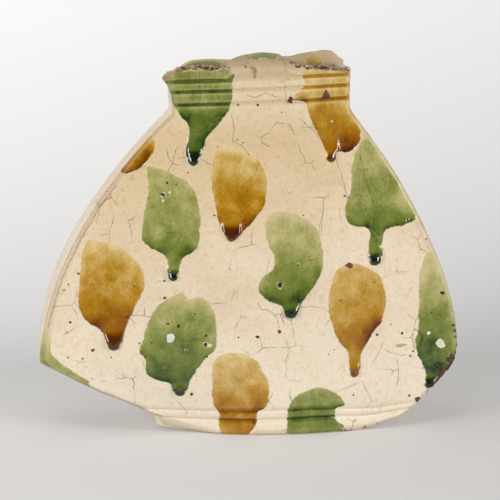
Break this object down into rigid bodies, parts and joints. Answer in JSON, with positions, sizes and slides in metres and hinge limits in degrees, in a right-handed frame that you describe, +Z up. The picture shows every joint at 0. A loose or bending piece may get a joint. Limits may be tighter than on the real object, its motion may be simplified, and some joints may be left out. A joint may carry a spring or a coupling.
{
  "type": "vase",
  "caption": "Flattened slab-built earthenware flask vase with a grooved oval neck, a pinched mouth, low corners and a flat foot, for standing cut flowers.",
  "frame": {"origin": "on the table under the middle of the vase's box", "axes": "+X to the right of someone facing the front, +Y from the front to the back, +Z up"},
  "size_m": [0.287, 0.09, 0.2571],
  "materials": {
    "glazed_slip": "cream slip under a clear, crazed lead glaze, with runs of green and amber glaze",
    "bare_clay": "bare red earthenware, matt",
    "green_glaze": "green lead glaze in glossy runs that end in beads",
    "amber_glaze": "amber lead glaze in glossy runs that end in beads"
  },
  "bodies": {
    "root": {"front_wall": "glazed_slip", "back_wall": "glazed_slip", "left_side_wall": "glazed_slip", "right_side_wall": "glazed_slip", "left_underside": "glazed_slip", "right_underside": "glazed_slip", "base_slab": "bare_clay", "left_seam_coil": "bare_clay", "left_underside_coil": "bare_clay", "base_coil": "bare_clay", "right_underside_coil": "bare_clay", "right_seam_coil": "bare_clay"}
  },
  "joints": []
}
